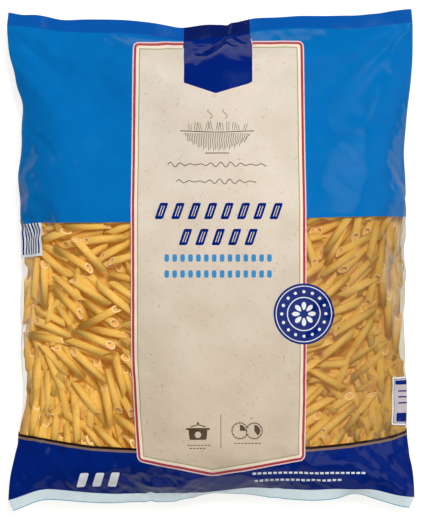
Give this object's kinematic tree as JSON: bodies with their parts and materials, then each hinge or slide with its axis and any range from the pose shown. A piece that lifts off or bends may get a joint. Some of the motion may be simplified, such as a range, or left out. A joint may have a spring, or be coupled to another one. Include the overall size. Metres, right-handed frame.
{
  "type": "pasta packet",
  "caption": "Catering-size pillow bag of short tube pasta, in printed film with flat end seals and flared corners, lying on its back.",
  "frame": {"origin": "middle of the footprint, on the floor that the bag lies on", "axes": "+X to the right of the printed front, +Y up the printed front to the top seal, +Z out of the front, away from the floor"},
  "size_m": [0.4136, 0.5, 0.0841],
  "materials": {
    "film": "glossy printed film",
    "clear_film": "clear glossy film",
    "pasta": "matt, faintly translucent"
  },
  "bodies": {
    "root": {"bag": "film"}
  },
  "joints": []
}
